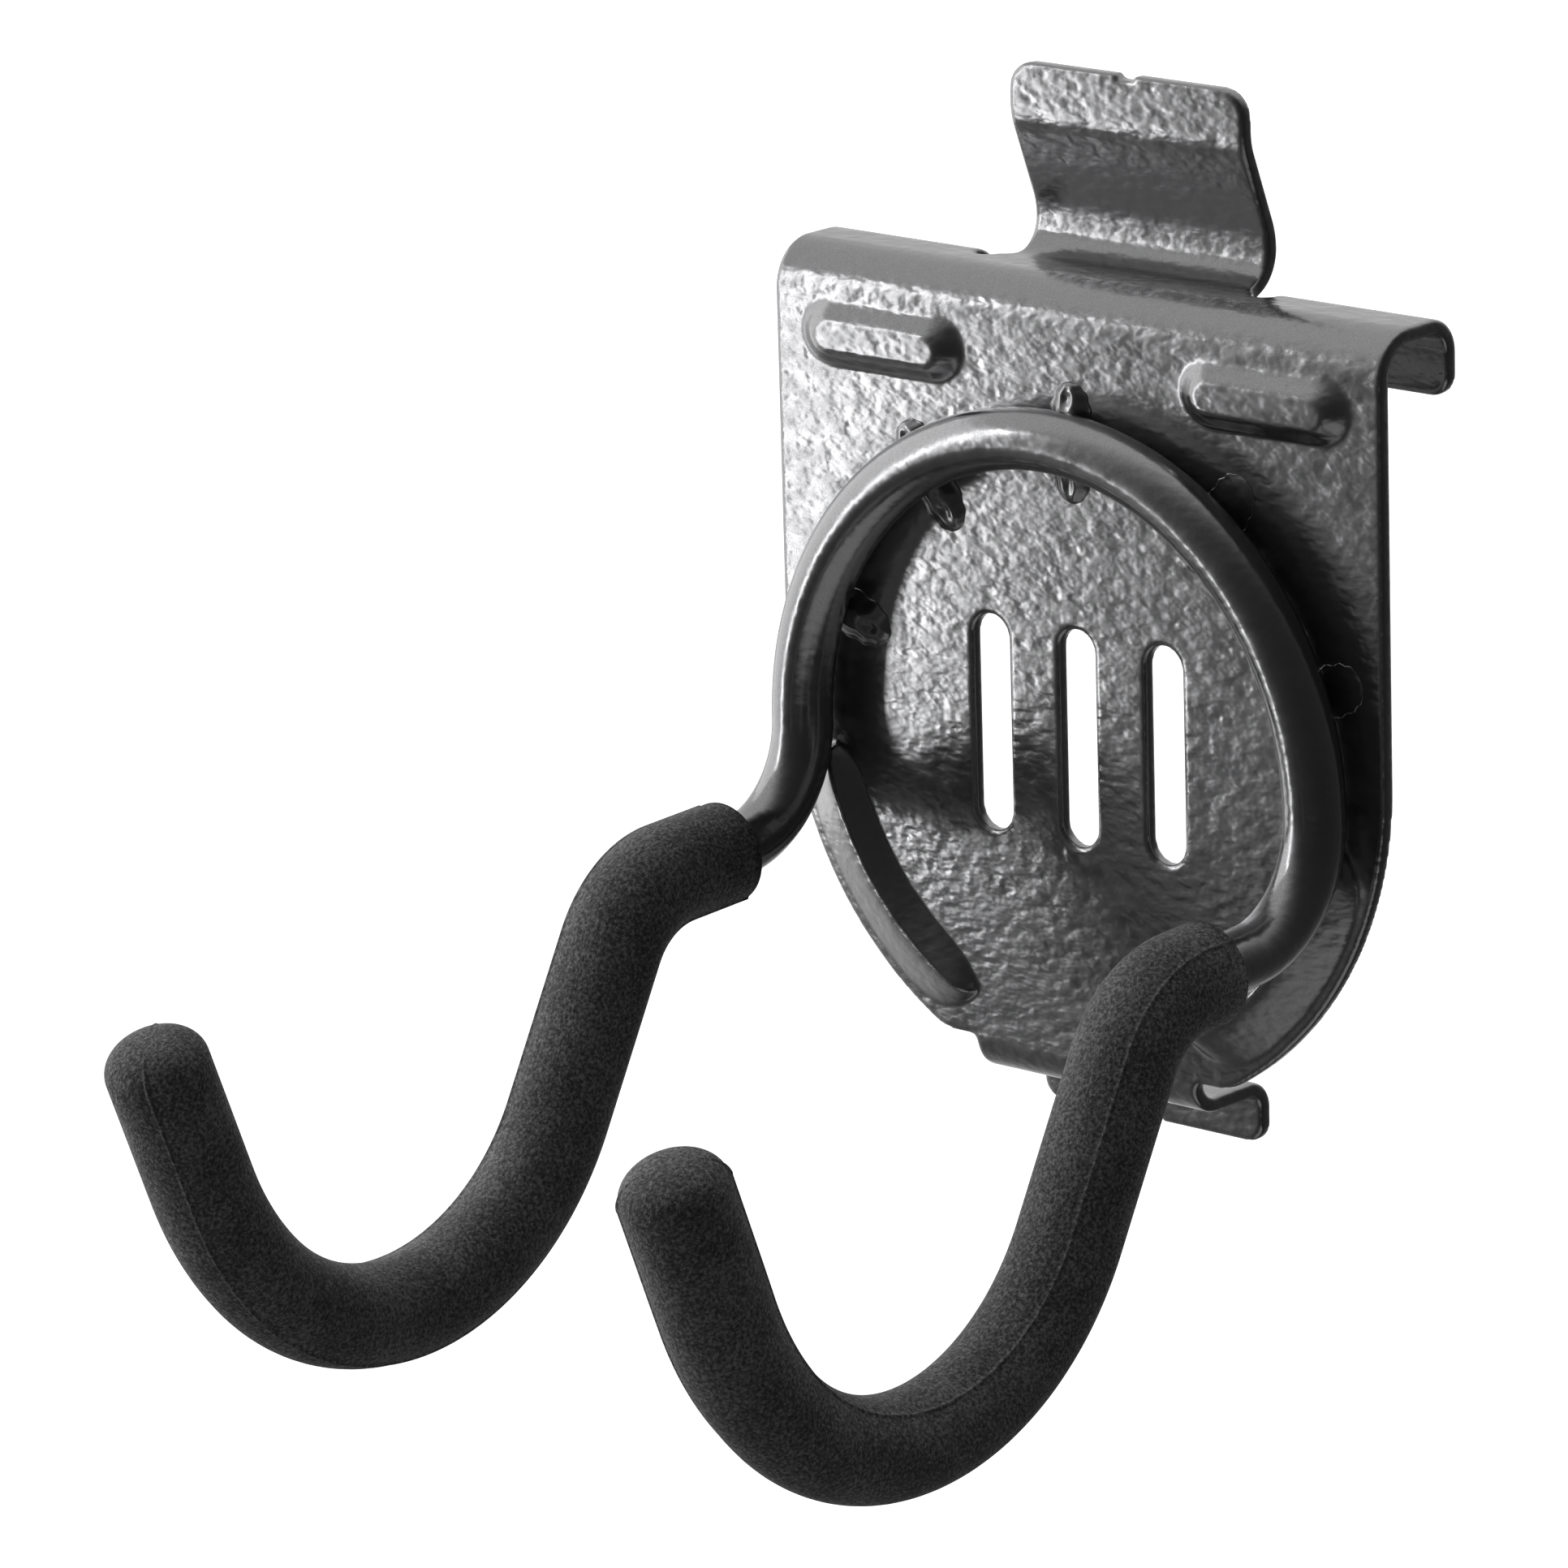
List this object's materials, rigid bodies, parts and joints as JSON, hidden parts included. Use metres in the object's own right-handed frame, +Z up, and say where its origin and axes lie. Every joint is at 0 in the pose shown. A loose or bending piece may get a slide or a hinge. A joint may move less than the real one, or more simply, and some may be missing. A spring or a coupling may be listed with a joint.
{
  "type": "bicycle wall rack",
  "caption": "Slat-wall rack: a folded steel plate with channel, spring tongue and foot, carrying a bent rod whose two sleeved arms cradle a bicycle frame.",
  "frame": {"origin": "middle of the bearing face, the flat underside of the channel top that sits on the wall slat's edge", "axes": "+Z up, +Y into the wall, -Y out towards the user, +X to the user's right"},
  "size_m": [0.118, 0.177, 0.1816],
  "materials": {
    "hammered_paint": "glossy hammered dark grey powder coat",
    "rod_paint": "smooth glossy dark grey powder coat",
    "weld_paint": "glossy dark grey powder coat over weld metal",
    "soft_rubber": "matte fine-grained soft sleeve"
  },
  "bodies": {
    "root": {"back_plate": "hammered_paint", "hook_rod": "rod_paint", "sleeve_left": "soft_rubber", "sleeve_right": "soft_rubber", "weld_1": "weld_paint", "weld_2": "weld_paint", "weld_3": "weld_paint", "weld_4": "weld_paint", "weld_5": "weld_paint"}
  },
  "joints": []
}
